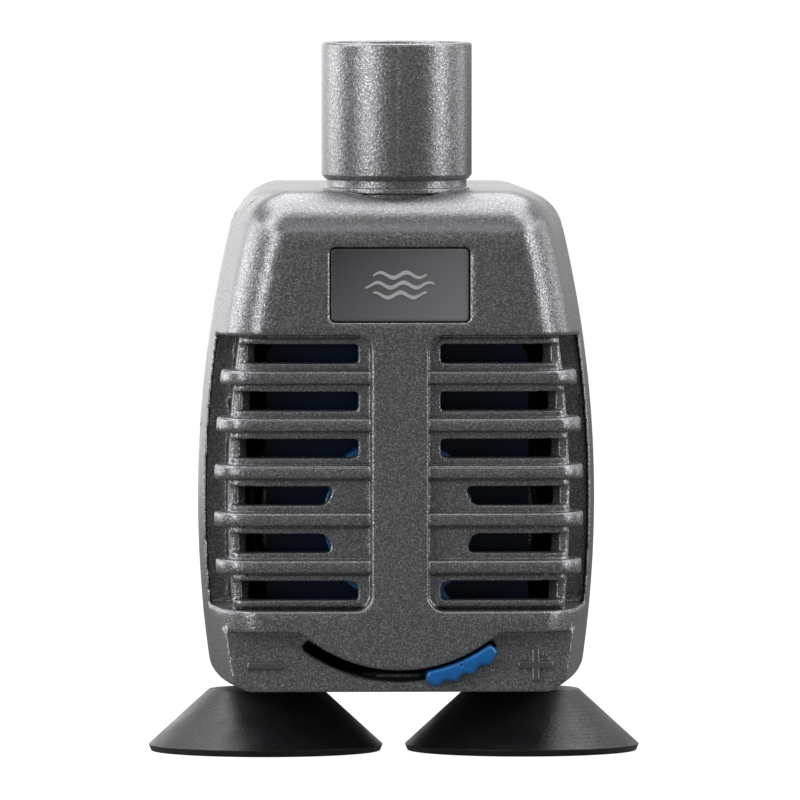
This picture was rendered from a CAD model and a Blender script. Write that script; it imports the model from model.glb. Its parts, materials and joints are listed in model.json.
"""Looks of a small submersible aquarium pump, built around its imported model. Lengths are metres unless a
name ends in _MM or _mm. Distance fields and turned profiles are in millimetres, and a field counts its
depth y from the front of the cover."""
import json
import math

import bpy
import numpy as np
import openvdb
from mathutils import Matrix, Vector


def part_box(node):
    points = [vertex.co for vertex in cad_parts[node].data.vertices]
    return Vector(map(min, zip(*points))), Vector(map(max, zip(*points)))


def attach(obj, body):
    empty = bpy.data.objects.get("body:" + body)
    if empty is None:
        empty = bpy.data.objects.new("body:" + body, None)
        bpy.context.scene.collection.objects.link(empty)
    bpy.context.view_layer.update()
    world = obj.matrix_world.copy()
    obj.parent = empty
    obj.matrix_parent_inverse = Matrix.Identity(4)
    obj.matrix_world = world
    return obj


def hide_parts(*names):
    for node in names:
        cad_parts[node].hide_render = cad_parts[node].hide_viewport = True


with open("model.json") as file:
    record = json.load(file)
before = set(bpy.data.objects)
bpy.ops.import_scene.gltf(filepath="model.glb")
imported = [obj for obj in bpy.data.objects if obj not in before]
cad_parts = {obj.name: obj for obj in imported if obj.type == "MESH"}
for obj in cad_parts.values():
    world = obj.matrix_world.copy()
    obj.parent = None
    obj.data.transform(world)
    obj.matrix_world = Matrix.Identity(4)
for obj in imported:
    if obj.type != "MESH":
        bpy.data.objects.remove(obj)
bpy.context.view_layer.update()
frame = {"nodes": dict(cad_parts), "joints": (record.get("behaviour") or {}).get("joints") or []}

MM = 0.001

# Places taken from the frame
COVER_LOW, COVER_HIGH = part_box("front_cover")
CHAMBER_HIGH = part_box("pump_chamber")[1]
BADGE_LOW, BADGE_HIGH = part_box("badge_plate")
FRONT_Y = COVER_LOW[1]
ROTOR_AXIS_Z = next(j for j in frame["joints"] if j["name"] == "regulator_turn")["pos_m"][2]

# Driving dimensions of the moulded body
BOTTOM_MM = COVER_LOW[2] / MM
TOP_MM = COVER_HIGH[2] / MM
HALF_WIDTH_MM = COVER_HIGH[0] / MM
AXIS_MM = ROTOR_AXIS_Z / MM
SEAM_MM = (COVER_HIGH[1] - FRONT_Y) / MM
HOUSING_DEPTH_MM = 18
REAR_MM = SEAM_MM + HOUSING_DEPTH_MM
WIDEST_HEIGHT_MM = 30
SIDE_BULGE = 0.00375
WIDEST_DEPTH_MM = 13.3
DRAFT = math.radians(10.8)
TAPER = math.radians(2.5)
CROWN_INSET_MM = 6.9
CROWN_RADIUS_MM = 12
CROWN_ANGLE = math.radians(15.5)
BROW_EDGE_MM = 6.4
BROW_STANDS_OUT_MM = 0.14
FLANK_EDGE_MM = 3.7
SHOULDER_EDGE_MM = 4.2
BROW_LOW_MM = 59.6
BROW_HIGH_MM = 62.4
WALL_MM = 2


# Signed distance shapes: negative inside, millimetres

def round_max(a, b, r):
    """Intersection with an edge of radius r."""
    u = np.maximum(a + r, 0)
    v = np.maximum(b + r, 0)
    return np.minimum(-r, np.maximum(a, b)) + np.sqrt(u * u + v * v)


def round_min(a, b, r):
    """Union with a fillet of radius r."""
    return -round_max(-a, -b, r)


def cut(solid, tool, r=0.2):
    return round_max(solid, -tool, r)


def span(v, low, high):
    """Distance outside the slab from low to high."""
    return np.abs(v - (low + high) / 2) - (high - low) / 2


def half_width(z):
    return HALF_WIDTH_MM - SIDE_BULGE * (z - WIDEST_HEIGHT_MM) ** 2


def front_plane(x, y, z):
    """Distance in front of the crowned face."""
    beyond = np.maximum(np.abs(x) - (half_width(z) - CROWN_INSET_MM), 0)
    curved = np.minimum(beyond, CROWN_RADIUS_MM * math.sin(CROWN_ANGLE))
    sunk = CROWN_RADIUS_MM - np.sqrt(CROWN_RADIUS_MM ** 2 - curved ** 2)
    return (sunk + (beyond - curved) * math.tan(CROWN_ANGLE) - y) * math.cos(CROWN_ANGLE / 2)


def side_plane(x, y, z):
    out = np.abs(x) - half_width(z)
    draft = (out + (WIDEST_DEPTH_MM - y) * math.tan(DRAFT)) * math.cos(DRAFT)
    taper = out + (y - WIDEST_DEPTH_MM) * math.tan(TAPER)
    return np.maximum(draft, taper)


def smooth_step(v, low, high):
    t = np.clip((v - low) / (high - low), 0, 1)
    return t * t * (3 - 2 * t)


def bottom_edge(y):
    """Radius of the edge between flank and bottom, wider towards the back."""
    return 2.3 + 0.11 * np.clip(y - 2, 0, 12)


def body_form(x, y, z, inset=0.0, rear=60.0, rear_edge=1.0):
    """The pump's rounded body, inset on the flanks, top and bottom."""
    face = front_plane(x, y, z)
    side = side_plane(x, y, z) + inset
    top = z - TOP_MM + inset
    bottom = BOTTOM_MM - z + inset
    brow = round_max(-y - BROW_STANDS_OUT_MM, top, BROW_EDGE_MM)
    flank_edge = FLANK_EDGE_MM + 0.5 * smooth_step(z, BROW_LOW_MM, BROW_HIGH_MM)
    form = round_max(np.maximum(face, brow), side, flank_edge)
    form = np.maximum(form, round_max(side, top, SHOULDER_EDGE_MM))
    form = np.maximum(form, round_max(side, bottom, bottom_edge(y)))
    form = np.maximum(form, round_max(face, bottom, 0.4))
    return round_max(form, y - rear, rear_edge)


def polar(x, z):
    """Radius about the rotor axis, and angle from straight down towards +X."""
    return np.hypot(x, z - AXIS_MM), np.arctan2(x, AXIS_MM - z)


def arc_bar(x, z, inner, outer, middle, half_span, corner):
    radius, angle = polar(x, z)
    along = (np.abs(angle - middle) - half_span) * (inner + outer) / 2
    return round_max(span(radius, inner, outer), along, corner)


def rounded_bar(x, z, cx, cz, half_x, half_z, corner):
    u = np.maximum(np.abs(x - cx) - half_x + corner, 0)
    v = np.maximum(np.abs(z - cz) - half_z + corner, 0)
    inside = np.minimum(np.maximum(np.abs(x - cx) - half_x, np.abs(z - cz) - half_z) + corner, 0)
    return np.sqrt(u * u + v * v) + inside - corner


# Meshes

def field_piece(name, low, high, voxel, field, adaptivity=0.0):
    """The zero surface of a distance field as a mesh object. low, high and voxel are millimetres."""
    axes = [np.arange(a - 2 * voxel, b + 3 * voxel, voxel, dtype=np.float32) for a, b in zip(low, high)]
    x = axes[0][:, None, None]
    y = axes[1][None, :, None]
    z = axes[2][None, None, :]
    values = np.ascontiguousarray(np.broadcast_to(field(x, y, z), [len(a) for a in axes]), dtype=np.float32)
    band = 4 * voxel
    grid = openvdb.FloatGrid(band)
    grid.copyFromArray(np.clip(values, -band, band))
    points, triangles, quads = grid.convertToPolygons(0.0, adaptivity)
    points = (points * voxel + [a[0] for a in axes]) * MM
    points[:, 1] += FRONT_Y
    faces = [list(f[::-1]) for f in quads]
    faces += [list(f[::-1]) for f in triangles]
    return mesh_piece(name, points, faces)


def mesh_piece(name, points, faces, smooth=True):
    mesh = bpy.data.meshes.new(name)
    mesh.from_pydata([tuple(p) for p in points], [], faces)
    mesh.validate()
    mesh.update()
    if smooth:
        mesh.shade_smooth()
    piece = bpy.data.objects.new(name, mesh)
    bpy.context.scene.collection.objects.link(piece)
    return piece


def turned_piece(name, profile_mm, centre, segments):
    """A line of (radius, height) points in millimetres, turned about a vertical axis through centre."""
    points = []
    faces = []
    count = len(profile_mm)
    for i in range(segments):
        angle = 2 * math.pi * i / segments
        for radius_mm, height_mm in profile_mm:
            across = radius_mm * MM * math.sin(angle)
            along = radius_mm * MM * math.cos(angle)
            points.append((centre[0] + across, centre[1] - along, height_mm * MM))
    for i in range(segments):
        a = i * count
        b = (i + 1) % segments * count
        for j in range(count - 1):
            faces.append((a + j, b + j, b + j + 1, a + j + 1))
    return mesh_piece(name, points, faces)


def fillet_profile(corners, steps=5):
    """An open line of (r, z, radius) corners with each corner rounded by its own radius."""
    line = []
    for i, (r, z, radius) in enumerate(corners):
        if radius == 0 or i in (0, len(corners) - 1):
            line.append((r, z))
            continue
        here = Vector((r, z))
        before = (Vector(corners[i - 1][:2]) - here).normalized()
        after = (Vector(corners[i + 1][:2]) - here).normalized()
        half = before.angle(after) / 2
        reach = radius / math.tan(half)
        start = here + before * reach
        end = here + after * reach
        for s in range(steps + 1):
            t = s / steps
            point = start.lerp(here, t).lerp(here.lerp(end, t), t)
            line.append((point.x, point.y))
    return line


# Pieces

RIB_HALF_MM = 0.76
LIP_MM = 0.85
SLOT_ROWS = 6
SLOT_TOP_MM = 47.07
SLOT_PITCH_MM = 5.47
SLOT_HALF_MM = 1.085
BAR_HALF_MM = 3.33
WINDOW_MM = (17.35, 49.2)
FRONT_WALL_MM = 4.6
HUB_MM = 8.45
CHANNEL_DEPTH_MM = 12.3
BRIDGE_DEPTH_MM = 10.0
PANEL_TOP_MM = 14.9
PANEL_DEPTHS_MM = (2.1, 2.8)
ARC_MM = (17.3, 18.6)
ARC_HALF = math.radians(37.5)
ARC_REACH_MM = 18
OUTLET_DEPTH_MM = 11.7
OUTLET_RADIUS_MM = 8.7
OUTLET_BORE_MM = 7.2
NECK_RADIUS_MM = 8.1
NECK_BORE_MM = 6.9
NECK_FOOT_MM = 53.5
CUP_LOW, CUP_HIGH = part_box("suction_cup_right")
CUP_X_MM = (CUP_LOW[0] + CUP_HIGH[0]) / 2 / MM
CUP_DEPTH_MM = ((CUP_LOW[1] + CUP_HIGH[1]) / 2 - FRONT_Y) / MM
CUP_RIM_MM = (CUP_HIGH[0] - CUP_LOW[0]) / 2 / MM


def panel_face(z):
    """Depth of the sloped panel below the grille."""
    slope = (PANEL_DEPTHS_MM[1] - PANEL_DEPTHS_MM[0]) / (PANEL_TOP_MM - BOTTOM_MM)
    return PANEL_DEPTHS_MM[0] + slope * (z - BOTTOM_MM)


def grille_field(x, y, z, radius, body):
    """The body with both grille windows sunk into it, their slots, lips and ribs."""
    ax = np.abs(x)
    wide = half_width(z)
    low = WINDOW_MM[0] + 0.045 * np.clip(y, 0, 13)
    high = WINDOW_MM[1] - 0.03 * np.clip(y, 0, 13)
    tall = np.abs(z - (low + high) / 2) - (high - low) / 2
    window = round_max(tall, BAR_HALF_MM - ax, 1.8)
    channel = round_max(y - CHANNEL_DEPTH_MM, ax - wide + 0.9, 0.3)
    window = round_max(window, np.minimum(channel, y - BRIDGE_DEPTH_MM), 0.15)
    base = round_max(front_plane(x, y, z) + 2.8, ax - wide + 3.3, 0.3)
    solid = cut(body, window, 0.33)
    solid = np.minimum(solid, np.maximum(np.maximum(base, body), tall - 0.5))
    lip_form = round_max(front_plane(x, y, z) + 1.6, ax - wide + 3.0, 1.3)
    rib_form = round_max(front_plane(x, y, z) + 0.6, ax - wide + 1.7, 2.8)
    slots = None
    for row in range(SLOT_ROWS):
        middle = SLOT_TOP_MM - row * SLOT_PITCH_MM
        edge = half_width(middle)
        lips = np.abs(z - middle) - SLOT_HALF_MM - LIP_MM
        lips = round_max(lips, np.maximum(lip_form, y - FRONT_WALL_MM), 0.3)
        lips = np.maximum(lips, ax - edge + 3.5)
        lips = np.maximum(lips, np.minimum(SLOT_HALF_MM - np.abs(z - middle), ax - edge + 6.5))
        solid = np.minimum(solid, lips)
        end = edge - 5.4 + 1.5 * np.clip((FRONT_WALL_MM - y) / 2.2, 0, 1)
        slot = round_max(np.abs(z - middle) - SLOT_HALF_MM, np.maximum(4.75 - ax, ax - end), 0.35)
        slot = np.maximum(round_max(slot, HUB_MM - radius, 0.9), y - FRONT_WALL_MM - 1.5)
        slots = slot if slots is None else np.minimum(slots, slot)
        if row + 1 < SLOT_ROWS:
            rib = np.abs(z - middle + SLOT_PITCH_MM / 2) - RIB_HALF_MM - 0.03 * np.clip(y, 0, 9)
            rib = round_max(rib, round_max(rib_form, y - 7.6, 2.6), 0.42)
            solid = round_min(solid, rib, 0.15)
    return solid, slots


def cover_field(x, y, z):
    """The front cover, with its grille, sloped panel, arc slot, badge recess and inside."""
    radius, angle = polar(x, z)
    ax = np.abs(x)
    body = body_form(x, y, z)
    solid, slots = grille_field(x, y, z, radius, body)
    # the lower panel, with the crisp-edged foot behind it
    face = panel_face(z)
    panel = round_max(z - PANEL_TOP_MM, ARC_MM[0] - radius, 0.2)
    solid = cut(solid, np.maximum(panel, y - face), 0.2)
    side = side_plane(x, y, z)
    bottom = BOTTOM_MM - z
    foot = round_max(face - y, np.maximum(side, bottom), 0.25)
    foot = np.maximum(foot, round_max(side, bottom, bottom_edge(y)))
    foot = np.maximum(foot, np.maximum(z - PANEL_TOP_MM - 0.3, y - 9))
    solid = np.minimum(solid, foot)
    arc = round_max(span(radius, *ARC_MM), (np.abs(angle) - ARC_HALF) * ARC_REACH_MM, 0.6)
    solid = cut(solid, np.maximum(arc, y - 6.8), 0.15)
    # badge recess with a fine rim groove
    badge = rounded_bar(x, z, 0, (BADGE_LOW[2] + BADGE_HIGH[2]) / 2 / MM, 8.1, 4.35, 0.6)
    solid = cut(solid, np.maximum(badge, y - 1.0), 0.16)
    # inside
    cavity = np.maximum(body_form(x, y, z, WALL_MM), FRONT_WALL_MM - y)
    window_back = np.maximum(span(z, 16, 50.5), y - CHANNEL_DEPTH_MM - 3)
    behind_window = np.maximum(half_width(z) - 4.1 - ax, window_back)
    cavity = np.maximum(cavity, -behind_window)
    upper = np.maximum(rounded_bar(x, z, 0, 54.8, 13, 4.2, 2), span(y, 2.6, 5))
    solid = np.maximum(solid, -np.minimum(cavity, upper))
    hub = np.maximum(radius - HUB_MM + 0.25, span(y, 4, 6))
    solid = cut(np.minimum(solid, hub), slots, 0.12)
    # outlet notch, cup holes and the open rear
    to_outlet = np.hypot(x, y - OUTLET_DEPTH_MM)
    notch = np.minimum(to_outlet - 8.6, np.maximum(ax - 8.6, OUTLET_DEPTH_MM - y))
    solid = cut(solid, np.maximum(notch, 60 - z), 0.2)
    hole = np.hypot(ax - CUP_X_MM, y - CUP_DEPTH_MM) - 2.3
    solid = np.maximum(solid, -np.maximum(hole, z - 12))
    return round_max(solid, y - SEAM_MM, 0.3)


MINUS_X_MM = -15.5
PLUS_X_MM = 15.75
STROKE_HALF_MM = 0.42


def symbol_field(x, y, z):
    """The raised minus and plus on the panel."""
    minus = rounded_bar(x, z, MINUS_X_MM, 11.0, 2.1, STROKE_HALF_MM, 0.3)
    level = rounded_bar(x, z, PLUS_X_MM, 11.1, 2.05, STROKE_HALF_MM, 0.3)
    upright = rounded_bar(x, z, PLUS_X_MM, 11.1, STROKE_HALF_MM, 1.95, 0.3)
    strokes = np.minimum(minus, np.minimum(level, upright))
    return round_max(strokes, np.abs(y - panel_face(z)) - 0.6, 0.16)


def make_symbols():
    symbols = []
    for name, middle in (("minus_symbol", MINUS_X_MM), ("plus_symbol", PLUS_X_MM)):
        low = (middle - 2.3, 1.5, 8.9)
        high = (middle + 2.3, 3.2, 13.3)
        symbol = field_piece(name, low, high, 0.09, symbol_field)
        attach(symbol, "pump_body")
        symbols.append(symbol)
    return symbols


def make_front_cover():
    low = (-HALF_WIDTH_MM, 0, BOTTOM_MM)
    high = (HALF_WIDTH_MM, SEAM_MM, TOP_MM)
    cover = field_piece("front_cover_shell", low, high, 0.165, cover_field, 0.05)
    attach(cover, "pump_body")
    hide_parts("front_cover")
    return cover


GLAND_HEIGHT_MM = 57
BOSS_DEPTH_MM = 50.5
GRIP_GROOVES = 4
GROOVE_PITCH_MM = 2.6


def housing_field(x, y, z):
    """The rear housing, with a spigot into the cover and a tongue up to the outlet."""
    body = body_form(x, y, z, rear=REAR_MM, rear_edge=3.2)
    ahead = SEAM_MM + 0.3 - y
    inner = np.maximum(body_form(x, y, z, WALL_MM), y - 46.2)
    core = body_form(x, y, z, 2 * WALL_MM)
    shell = np.maximum(round_max(np.maximum(body, ahead), ahead, 0.3), -inner)
    spigot = np.maximum(body_form(x, y, z, WALL_MM + 0.3), span(y, 28.4, 31))
    spigot = np.maximum(spigot, -core)
    rim = np.maximum(np.maximum(body + 0.05, span(y, 30.5, 31.4)), -core)
    strip = np.maximum(np.abs(x) - OUTLET_RADIUS_MM, span(z, TOP_MM - WALL_MM, TOP_MM))
    stretch = np.maximum(9.0 - np.hypot(x, y - OUTLET_DEPTH_MM), span(y, OUTLET_DEPTH_MM, 32))
    tongue = round_max(strip, stretch, 0.2)
    gland = np.hypot(x, z - GLAND_HEIGHT_MM)
    boss = round_max(gland - 6, y - BOSS_DEPTH_MM, 0.5)
    boss = np.maximum(boss, 46.5 - y)
    solid = np.minimum(np.minimum(shell, spigot), np.minimum(rim, tongue))
    # a shallow panel in the rear face, and grip grooves on both sides
    panel = rounded_bar(x, z, 0, 29.5, 14.5, 17.0, 3)
    solid = cut(solid, np.maximum(panel, 47.5 - y), 0.3)
    for i in range(GRIP_GROOVES):
        groove = np.hypot(side_plane(x, y, z), y - 34.5 - i * GROOVE_PITCH_MM) - 0.5
        solid = cut(solid, round_max(groove, np.abs(z - 34) - 12, 0.4), 0.15)
    solid = round_min(solid, boss, 0.7)
    return cut(solid, gland - 4.3, 0.2)


def make_rear_housing():
    low = (-HALF_WIDTH_MM, OUTLET_DEPTH_MM, BOTTOM_MM)
    high = (HALF_WIDTH_MM, BOSS_DEPTH_MM, TOP_MM)
    housing = field_piece("rear_housing_shell", low, high, 0.28, housing_field, 0.04)
    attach(housing, "pump_body")
    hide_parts("rear_housing")
    return housing


PARTING_LINE_MM = 0.07


def make_outlet():
    """The hose outlet with its neck, with the moulding's fine parting line down the front and back."""
    top = CHAMBER_HIGH[2] / MM
    collar = NECK_RADIUS_MM + 0.32
    profile = fillet_profile([
        (NECK_BORE_MM, NECK_FOOT_MM, 0),
        (NECK_RADIUS_MM, NECK_FOOT_MM, 0.3),
        (NECK_RADIUS_MM, 65.4, 0.15),
        (collar, 65.45, 0.12),
        (collar, 66.0, 0.16),
        (NECK_RADIUS_MM, 66.05, 0.12),
        (NECK_RADIUS_MM, 66.95, 0.1),
        (OUTLET_RADIUS_MM - 0.42, 66.98, 0.06),
        (OUTLET_RADIUS_MM, 67.5, 0.25),
        (OUTLET_RADIUS_MM, top, 0.4),
        (OUTLET_BORE_MM, top, 0.3),
        (OUTLET_BORE_MM, 70, 0.2),
        (NECK_BORE_MM, 66, 0.2),
        (NECK_BORE_MM, NECK_FOOT_MM, 0),
    ])
    centre = (0, FRONT_Y + OUTLET_DEPTH_MM * MM)
    tube = turned_piece("hose_outlet", profile, centre, 256)
    for vertex in tube.data.vertices:
        dx = vertex.co.x - centre[0]
        dy = vertex.co.y - centre[1]
        outside = math.hypot(dx, dy) > 7.6 * MM
        if outside and abs(dx) < 0.12 * MM and vertex.co.z < (top - 0.3) * MM:
            vertex.co.y += math.copysign(PARTING_LINE_MM * MM, dy)
    tube.data.update()
    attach(tube, "pump_body")
    return tube


def chamber_field(x, y, z):
    """The pump chamber below its neck: a round casing with a flange, and a duct up to the outlet."""
    radius, _ = polar(x, z)
    ax = np.abs(x)
    to_outlet = np.hypot(x, y - OUTLET_DEPTH_MM)
    drum = np.maximum(radius - 16, span(y, 10.9, 25.6))
    flange = np.maximum(radius - 17.2, span(y, 23.4, 25.6))
    casing = np.minimum(drum, flange)
    duct = round_max(ax - 7.6, np.maximum(span(y, 10.9, 21.4), span(z, 38, 57)), 1.2)
    neck = np.maximum(to_outlet - NECK_RADIUS_MM, span(z, 52, 56))
    solid = round_min(round_min(casing, duct, 0.8), neck, 0.6)
    duct_inside = np.maximum(ax - 6.2, np.maximum(span(y, 12.2, 19.9), 36 - z))
    hollow = np.minimum(np.maximum(radius - 14.4, 12.2 - y), duct_inside)
    hollow = np.minimum(hollow, np.maximum(to_outlet - NECK_BORE_MM, NECK_FOOT_MM - z))
    hollow = np.minimum(hollow, radius - 6.5)
    groove = np.maximum(span(radius, 15, 16.6), 24 - y)
    return np.maximum(solid, -np.minimum(hollow, groove))


def make_chamber():
    low = (-17.2, 3.4, 10)
    high = (17.2, 25.6, 57)
    casing = field_piece("chamber_casing", low, high, 0.32, chamber_field, 0.05)
    tube = make_outlet()
    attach(casing, "pump_body")
    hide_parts("pump_chamber")
    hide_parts("pump_chamber")
    return casing, tube


LEVER = math.radians(23.1)
LEVER_SPAN = math.radians(13.7)
GRIP_INNER_MM = 17.6
HUMP_PITCH = math.radians(6.5)


def regulator_field(x, y, z):
    """The shutter ring with three windows, and the arm, neck and humped grip of its lever."""
    radius, angle = polar(x, z)
    off_lever = np.abs(angle - LEVER)
    narrow = np.clip((np.abs(np.abs(angle) - math.pi / 2) - math.radians(24)) / 0.12, 0, 1)
    ring = round_max(np.maximum(8.1 - radius, radius - 8.75 - 0.75 * narrow), span(y, 5, 9), 0.12)
    for k in range(3):
        middle = math.radians(90 + 120 * k)
        turn = np.abs((angle - middle + math.pi) % (2 * math.pi) - math.pi)
        ring = np.maximum(ring, -np.maximum((turn - math.radians(30)) * 9, span(y, 6.6, 8.6)))
    arm = np.maximum(span(radius, 9.2, 18.2), (off_lever - LEVER_SPAN + 0.07) * 17)
    arm = np.maximum(arm, span(y, 5, 6.2))
    neck = arc_bar(x, z, GRIP_INNER_MM, 18.3, LEVER, LEVER_SPAN - 0.01, 0.2)
    neck = np.maximum(neck, span(y, 1.1, 6.2))
    # the grip's outer edge has four humps
    hump = 19.4 + 0.21 * np.cos((angle - math.radians(12.6)) * 2 * math.pi / HUMP_PITCH)
    bar = np.maximum(GRIP_INNER_MM - radius, radius - hump)
    bar = round_max(bar, (off_lever - LEVER_SPAN) * 18.4, 0.7)
    grip = round_max(bar, span(y, 0.05, 1.4), 0.5)
    mark = np.maximum((off_lever - 0.006) * ARC_REACH_MM, radius - 18.3)
    grip = cut(grip, np.maximum(mark, y - 0.35), 0.08)
    return np.minimum(np.minimum(ring, arm), round_min(neck, grip, 0.2))


def make_regulator():
    low = (-9.6, 0, 7.9)
    high = (12.2, 9.2, 37.5)
    piece = field_piece("regulator_ring_and_lever", low, high, 0.13, regulator_field, 0.02)
    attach(piece, "regulator")
    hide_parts("flow_regulator")
    return piece


WAVES = (("upper", 1.15, 3.1), ("middle", 0, 4.0), ("lower", -1.15, 3.1))


def make_badge():
    """A plain satin plate with a raised mark of three wavy water lines."""
    middle = (BADGE_LOW[2] + BADGE_HIGH[2]) / 2 / MM
    face = (BADGE_LOW[1] - FRONT_Y) / MM

    half_width_mm = BADGE_HIGH[0] / MM
    half_height_mm = (BADGE_HIGH[2] - BADGE_LOW[2]) / 2 / MM

    def plate_field(x, y, z):
        outline = rounded_bar(x, z, 0, middle, half_width_mm, half_height_mm, 0.5)
        return round_max(outline, span(y, face, face + 0.6), 0.12)

    low = (-8, 0.2, middle - 4.3)
    high = (8, 0.9, middle + 4.3)
    plate = field_piece("badge_plate_face", low, high, 0.1, plate_field, 0.02)
    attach(plate, "pump_body")
    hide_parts("badge_plate")
    waves = []
    for i, (name, rise, half) in enumerate(WAVES):
        waves.append(wave_line(f"badge_wave_{name}", middle + rise, half, face, i))
    return plate, waves


def wave_line(name, height, half, face, phase):
    """One wavy bar that narrows to its ends and stands a little proud of the plate. In millimetres."""
    steps = 60
    points = []
    faces = []
    for i in range(steps + 1):
        x = -half + 2 * half * i / steps
        centre = height + 0.3 * math.sin(x * 2.1 + phase * 0.7)
        thick = 0.24 * math.sin(math.pi * (0.06 + 0.88 * i / steps)) ** 0.5
        section = [(-thick, 0.05), (-thick, -0.05), (thick, -0.05), (thick, 0.05)]
        for dz, proud in section:
            y = face + proud
            points.append((x * MM, FRONT_Y + y * MM, (centre + dz) * MM))
    for i in range(steps):
        for j in range(4):
            a = i * 4 + j
            b = i * 4 + (j + 1) % 4
            faces.append((a, b, b + 4, a + 4))
    faces.append((3, 2, 1, 0))
    faces.append((steps * 4, steps * 4 + 1, steps * 4 + 2, steps * 4 + 3))
    line = mesh_piece(name, points, faces, smooth=False)
    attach(line, "pump_body")
    return line


def make_cup(side_name):
    """A suction cup: knob, stem and bell, from the top of the knob round to the roof of the hollow."""
    low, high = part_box(f"suction_cup_{side_name}")
    centre = ((low[0] + high[0]) / 2, (low[1] + high[1]) / 2)
    profile = fillet_profile([
        (0, 12.2, 0),
        (1.9, 12.1, 0.5),
        (2.8, 10.9, 0.3),
        (2.8, 10.25, 0.15),
        (2.0, 10.25, 0.1),
        (2.0, 7.2, 0.2),
        (6.6, 7.2, 0.4),
        (CUP_RIM_MM, 0.75, 0.12),
        (CUP_RIM_MM - 0.3, 0, 0.12),
        (CUP_RIM_MM - 1.4, 0, 0.2),
        (5.2, 4.9, 1.2),
        (0, 5.1, 0),
    ], 6)
    cup = turned_piece(f"rubber_cup_{side_name}", profile, centre, 200)
    weld(cup)
    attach(cup, "pump_body")
    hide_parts(f"suction_cup_{side_name}")
    return cup


def weld(piece):
    """Joins the points that meet on the axis, so that the turned skin is closed."""
    modifier = piece.modifiers.new("weld", "WELD")
    modifier.merge_threshold = 0.000002


# Materials

class Nodes:
    """A material's node tree with short calls for the nodes used here."""

    def __init__(self, name):
        self.material = bpy.data.materials.new(name)
        self.material.use_nodes = True
        self.tree = self.material.node_tree
        self.shader = self.tree.nodes["Principled BSDF"]
        coordinates = self.tree.nodes.new("ShaderNodeTexCoord")
        self.coord = coordinates.outputs["Object"]
        self.facing = coordinates.outputs["Normal"]

    def add(self, kind, inputs=(), **settings):
        node = self.tree.nodes.new(kind)
        for key, value in settings.items():
            setattr(node, key, value)
        for key, value in dict(inputs).items():
            self.feed(node.inputs[key], value)
        return node

    def feed(self, socket, value):
        """Links a socket to another, or sets it to a plain value."""
        if isinstance(value, bpy.types.NodeSocket):
            self.tree.links.new(value, socket)
        else:
            socket.default_value = value

    def noise(self, scale, detail=2.0, roughness=0.5):
        inputs = {"Vector": self.coord, "Scale": scale, "Detail": detail, "Roughness": roughness}
        return self.add("ShaderNodeTexNoise", inputs).outputs["Fac"]

    def cells(self, scale):
        """Distance from the nearest of many scattered points."""
        inputs = {"Vector": self.coord, "Scale": scale}
        return self.add("ShaderNodeTexVoronoi", inputs).outputs["Distance"]

    def bands(self, scale, direction):
        inputs = {"Vector": self.coord, "Scale": scale}
        return self.add("ShaderNodeTexWave", inputs, bands_direction=direction).outputs["Fac"]

    def split(self, vector):
        return self.add("ShaderNodeSeparateXYZ", {"Vector": vector}).outputs

    def remap(self, value, from_low, from_high, to_low, to_high):
        inputs = {"Value": value}
        inputs.update({"From Min": from_low, "From Max": from_high, "To Min": to_low, "To Max": to_high})
        return self.add("ShaderNodeMapRange", inputs).outputs["Result"]

    def math(self, operation, a, b=0.0):
        return self.add("ShaderNodeMath", {0: a, 1: b}, operation=operation).outputs[0]

    def mix(self, factor, a, b):
        """Colour a where the factor is 0 and b where it is 1."""
        node = self.add("ShaderNodeMix", data_type="RGBA")
        for index, value in ((0, factor), (6, a), (7, b)):
            self.feed(node.inputs[index], value)
        return node.outputs[2]

    def bump(self, height, distance, strength=1.0):
        inputs = {"Height": height, "Distance": distance, "Strength": strength}
        return self.add("ShaderNodeBump", inputs).outputs["Normal"]

    def set(self, **values):
        for key, value in values.items():
            self.feed(self.shader.inputs[key.replace("_", " ")], value)
        return self.material


def grey_plastic():
    """Fine spark-eroded grain with small glints on the front, smoother on the top and the flanks."""
    n = Nodes("grained grey plastic")
    facing = n.split(n.facing)
    flank = n.remap(n.math("ABSOLUTE", facing["X"]), 0.88, 0.97, 1.0, 0.25)
    grained = n.math("MULTIPLY", n.remap(facing["Z"], 0.15, 0.3, 1.0, 0.45), flank)
    cloud = n.noise(160.0, 3.0)
    grain = n.noise(6500.0, 1.0, 0.5)
    ripple = n.noise(3300.0, 1.0, 0.5)
    glint = n.math("MULTIPLY", n.remap(n.cells(3600.0), 0.08, 0.34, 0.75, 0.0), grained)
    bright = n.math("MULTIPLY", n.remap(grain, 0.5, 0.7, 0.0, 1.0), grained)
    base = n.mix(cloud, (0.13, 0.131, 0.138, 1), (0.154, 0.155, 0.163, 1))
    base = n.mix(bright, base, (0.38, 0.383, 0.39, 1))
    base = n.mix(glint, base, (0.6, 0.6, 0.62, 1))
    rough = n.remap(ripple, 0.35, 0.65, 0.26, 0.36)
    height = n.math("ADD", n.math("MULTIPLY", grain, 0.5), n.math("MULTIPLY", ripple, 0.8))
    normal = n.bump(n.math("MULTIPLY", height, grained), 0.000042, 1.0)
    return n.set(Base_Color=base, Roughness=rough, Normal=normal, Metallic=0.78)


def badge_plastic():
    """Satin grey that pales from the upper left corner to the lower right."""
    n = Nodes("satin badge plastic")
    parts = n.split(n.coord)
    across = n.math("SUBTRACT", parts["X"], parts["Z"])
    sheen = n.remap(across, -0.066, -0.045, 0.0, 1.0)
    base = n.mix(sheen, (0.06, 0.06, 0.066, 1), (0.21, 0.212, 0.222, 1))
    normal = n.bump(n.noise(6000.0, 1.0), 0.00002, 0.4)
    return n.set(Base_Color=base, Roughness=0.3, Normal=normal, Metallic=0.3)


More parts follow.
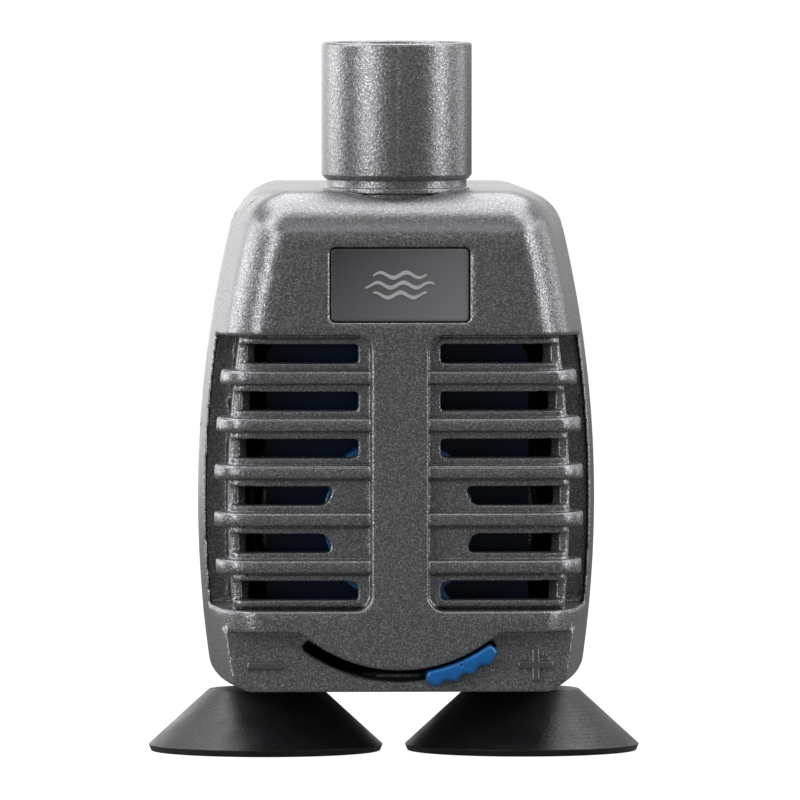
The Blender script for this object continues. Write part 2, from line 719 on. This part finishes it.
def badge_ink():
    n = Nodes("pale badge ink")
    base = n.mix(n.noise(900.0), (0.34, 0.35, 0.36, 1), (0.40, 0.41, 0.42, 1))
    return n.set(Base_Color=base, Roughness=0.4)


def blue_plastic():
    """Glossy blue, lightly rippled as thick moulded grips are."""
    n = Nodes("gloss blue plastic")
    cloud = n.noise(500.0, 2.0)
    base = n.mix(cloud, (0.0, 0.08, 0.27, 1), (0.0, 0.13, 0.4, 1))
    normal = n.bump(n.noise(900.0, 2.0), 0.0001, 0.8)
    rough = n.remap(n.noise(700.0, 2.0), 0.3, 0.7, 0.12, 0.24)
    return n.set(Base_Color=base, Roughness=rough, Normal=normal, Specular_IOR_Level=0.7)


def shaded_blue_plastic():
    """The same blue in a deeper tone, for the piece behind the grille."""
    n = Nodes("deep blue plastic")
    base = n.mix(n.noise(220.0, 2.0), (0.0005, 0.010, 0.045, 1), (0.001, 0.018, 0.07, 1))
    return n.set(Base_Color=base, Roughness=0.3, Specular_IOR_Level=0.3)


def black_rubber():
    """Soft rubber with fine turned rings about each cup's axis, a little dust and a few pale specks."""
    n = Nodes("black rubber")
    parts = n.split(n.coord)
    across = n.math("SUBTRACT", n.math("ABSOLUTE", parts["X"]), CUP_X_MM * MM)
    along = n.math("SUBTRACT", parts["Y"], FRONT_Y + CUP_DEPTH_MM * MM)
    radius = n.math("SQRT", n.math("ADD", n.math("POWER", across, 2.0), n.math("POWER", along, 2.0)))
    rings = n.math("SINE", n.math("MULTIPLY", radius, 14000.0))
    dust = n.remap(n.noise(420.0, 5.0, 0.65), 0.45, 0.8, 0.0, 0.6)
    base = n.mix(dust, (0.009, 0.009, 0.011, 1), (0.026, 0.027, 0.031, 1))
    specks = n.remap(n.cells(1100.0), 0.03, 0.08, 1.0, 0.0)
    base = n.mix(n.math("MULTIPLY", specks, 0.2), base, (0.35, 0.35, 0.36, 1))
    patches = n.remap(n.noise(130.0), 0.4, 0.7, 0.0, 0.12)
    height = n.math("ADD", n.noise(2600.0, 3.0), n.math("MULTIPLY", rings, patches))
    rough = n.remap(n.noise(300.0, 3.0), 0.3, 0.7, 0.34, 0.52)
    normal = n.bump(height, 0.00006, 0.7)
    return n.set(Base_Color=base, Roughness=rough, Normal=normal, Specular_IOR_Level=0.36)


def plain(name, color, roughness, metallic=0.0, depth=0.00003):
    """A moulded or machined finish with slight colour drift and a fine surface."""
    scale = 900.0
    n = Nodes(name)
    dark = tuple(c * 0.86 for c in color) + (1,)
    base = n.mix(n.noise(scale / 4, 3.0), dark, tuple(color) + (1,))
    rough = n.remap(n.noise(scale, 2.0), 0.3, 0.7, roughness * 0.85, roughness * 1.15)
    normal = n.bump(n.noise(scale * 2), depth, 0.5)
    return n.set(Base_Color=base, Roughness=rough, Normal=normal, Metallic=metallic)


def laminated_steel():
    n = Nodes("laminated core steel")
    bands = n.bands(320.0, "Y")
    base = n.mix(bands, (0.14, 0.14, 0.145, 1), (0.36, 0.36, 0.37, 1))
    return n.set(Base_Color=base, Roughness=0.45, Metallic=0.9, Normal=n.bump(bands, 0.0001, 0.7))


def copper_wire():
    n = Nodes("enamelled copper wire")
    bands = n.bands(900.0, "Z")
    base = n.mix(bands, (0.28, 0.07, 0.02, 1), (0.62, 0.24, 0.09, 1))
    return n.set(Base_Color=base, Roughness=0.28, Metallic=0.85, Normal=n.bump(bands, 0.00015, 0.8))


def paint(piece, material):
    piece.data.materials.clear()
    piece.data.materials.append(material)


def paint_nodes(material, *names):
    for name in names:
        node = frame["nodes"][name]
        for slot in node.material_slots:
            slot.material = material


# Studio

def area_light(name, place, target, size, power):
    data = bpy.data.lights.new(name, "AREA")
    data.shape = "RECTANGLE"
    data.size, data.size_y = size
    data.energy = power
    light = bpy.data.objects.new(name, data)
    light.location = place
    light.rotation_euler = (Vector(target) - Vector(place)).to_track_quat("-Z", "Y").to_euler()
    light.visible_camera = False
    bpy.context.scene.collection.objects.link(light)


def softbox(name, bearing, height, size, radiance):
    """A soft box around the pump. bearing is degrees from the camera side, positive to the right."""
    distance = 0.6
    turn = math.radians(bearing)
    place = (math.sin(turn) * distance, -math.cos(turn) * distance, height)
    area_light(name, place, (0, 0, 0.045), size, radiance * math.pi * size[0] * size[1])


def make_world():
    """A white backdrop all round behind the pump, and a dim room on the camera's side."""
    world = bpy.data.worlds.new("white backdrop, dim room")
    world.use_nodes = True
    tree = world.node_tree
    background = tree.nodes["Background"]
    background.inputs["Color"].default_value = (1, 1, 1, 1)
    coord = tree.nodes.new("ShaderNodeTexCoord")
    parts = tree.nodes.new("ShaderNodeSeparateXYZ")
    tree.links.new(coord.outputs["Generated"], parts.inputs["Vector"])
    strength = tree.nodes.new("ShaderNodeMapRange")
    strength.interpolation_type = "SMOOTHSTEP"
    strength.inputs["From Min"].default_value = 0.1
    strength.inputs["From Max"].default_value = 0.75
    strength.inputs["To Min"].default_value = 0.42
    strength.inputs["To Max"].default_value = 1.05
    tree.links.new(parts.outputs["Y"], strength.inputs["Value"])
    path = tree.nodes.new("ShaderNodeLightPath")
    seen = tree.nodes.new("ShaderNodeMapRange")
    seen.inputs["To Min"].default_value = 0.5
    tree.links.new(path.outputs["Is Camera Ray"], seen.inputs["Value"])
    total = tree.nodes.new("ShaderNodeMath")
    total.operation = "MULTIPLY"
    tree.links.new(strength.outputs["Result"], total.inputs[0])
    tree.links.new(seen.outputs["Result"], total.inputs[1])
    tree.links.new(total.outputs[0], background.inputs["Strength"])
    bpy.context.scene.world = world


def make_studio():
    make_world()
    bpy.context.scene.view_settings.view_transform = "Standard"
    softbox("left front softbox", -46, 0.14, (0.27, 0.5), 4.6)
    softbox("left side softbox", -112, 0.16, (0.4, 0.4), 3.8)
    softbox("left rear softbox", -152, 0.09, (0.4, 0.4), 1.4)
    softbox("right front softbox", 69, 0.2, (0.2, 0.44), 5.0)
    softbox("right side softbox", 112, 0.2, (0.3, 0.4), 1.6)
    softbox("right rear softbox", 150, 0.25, (0.3, 0.34), 0.25)
    softbox("back softbox", 180, 0.24, (0.3, 0.3), 0.7)
    area_light("top softbox", (0, 0.13, 0.55), (0, 0.02, 0.05), (0.7, 0.68), 6.2)
    area_light("upper left softbox", (-0.42, -0.1, 0.42), (0, 0, 0.05), (0.3, 0.35), 1.5)
    area_light("upper right softbox", (0.42, -0.05, 0.42), (0, 0, 0.05), (0.3, 0.35), 1.0)
    area_light("high front fill", (0, -0.45, 0.38), (0, 0, 0.05), (0.5, 0.2), 0.35)


def make_floor():
    """White to the eye, and dim to the pump."""
    size = 6.0
    corners = [(-size, -size, 0), (size, -size, 0), (size, size, 0), (-size, size, 0)]
    floor = mesh_piece("pale_floor", corners, [(0, 1, 2, 3)], smooth=False)
    n = Nodes("pale floor")
    seen = n.add("ShaderNodeLightPath").outputs["Is Camera Ray"]
    glow = n.remap(seen, 0.0, 1.0, 0.12, 1.0)
    paint(floor, n.set(Base_Color=(0.05, 0.05, 0.05, 1), Roughness=0.9, Emission_Color=(1, 1, 1, 1),
                       Emission_Strength=glow, Specular_IOR_Level=0.0))


def make_camera():
    """A long lens almost straight in front, a little to the left and a little above."""
    distance = 2.0
    frame_width = 0.09224
    azimuth = math.radians(-1.9)
    elevation = math.radians(2.5)
    aim = Vector((0.0, FRONT_Y, 0.0418))
    data = bpy.data.cameras.new("photo camera")
    data.sensor_width = 36.0
    data.lens = 36.0 * distance / frame_width
    data.clip_start = 0.1
    data.clip_end = 50.0
    camera = bpy.data.objects.new("photo camera", data)
    level = math.cos(elevation)
    back = Vector((math.sin(azimuth) * level, -math.cos(azimuth) * level, math.sin(elevation)))
    camera.location = aim + back * distance
    camera.rotation_euler = (-back).to_track_quat("-Z", "Y").to_euler()
    bpy.context.scene.collection.objects.link(camera)
    bpy.context.scene.camera = camera


def build():
    make_camera()
    make_studio()
    make_floor()
    grey = grey_plastic()
    blue = blue_plastic()
    rubber = black_rubber()
    paint(make_front_cover(), grey)
    smooth_grey = plain("smooth grey plastic", (0.17, 0.172, 0.18), 0.25, 0.78)
    for symbol in make_symbols():
        paint(symbol, smooth_grey)
    paint(make_rear_housing(), grey)
    for piece in make_chamber():
        paint(piece, grey)
    paint(make_regulator(), blue)
    plate, waves = make_badge()
    paint(plate, badge_plastic())
    ink = badge_ink()
    for wave in waves:
        paint(wave, ink)
    for side_name in ("left", "right"):
        paint(make_cup(side_name), rubber)
    paint_nodes(shaded_blue_plastic(), "inlet_cap")
    paint_nodes(rubber, "cable_gland", "chamber_o_ring", "front_bearing_bush", "rear_bearing_bush")
    white = plain("white acetal", (0.7, 0.69, 0.65), 0.4)
    paint_nodes(white, "impeller", "rotor_core", "coil_bobbin_left", "coil_bobbin_right")
    ceramic = plain("polished ceramic", (0.82, 0.81, 0.77), 0.15, depth=0.00001)
    paint_nodes(ceramic, "ceramic_shaft", "front_thrust_washer", "rear_thrust_washer")
    paint_nodes(plain("ferrite", (0.035, 0.034, 0.033), 0.55, 0.3), "rotor_magnet")
    paint_nodes(plain("black nylon", (0.02, 0.02, 0.022), 0.5), "rotor_can", "thermal_cutout")
    paint_nodes(laminated_steel(), "stator_core")
    paint_nodes(copper_wire(), "coil_winding_left", "coil_winding_right")
    paint_nodes(plain("cast resin", (0.01, 0.01, 0.011), 0.25), "potting_resin")


build()
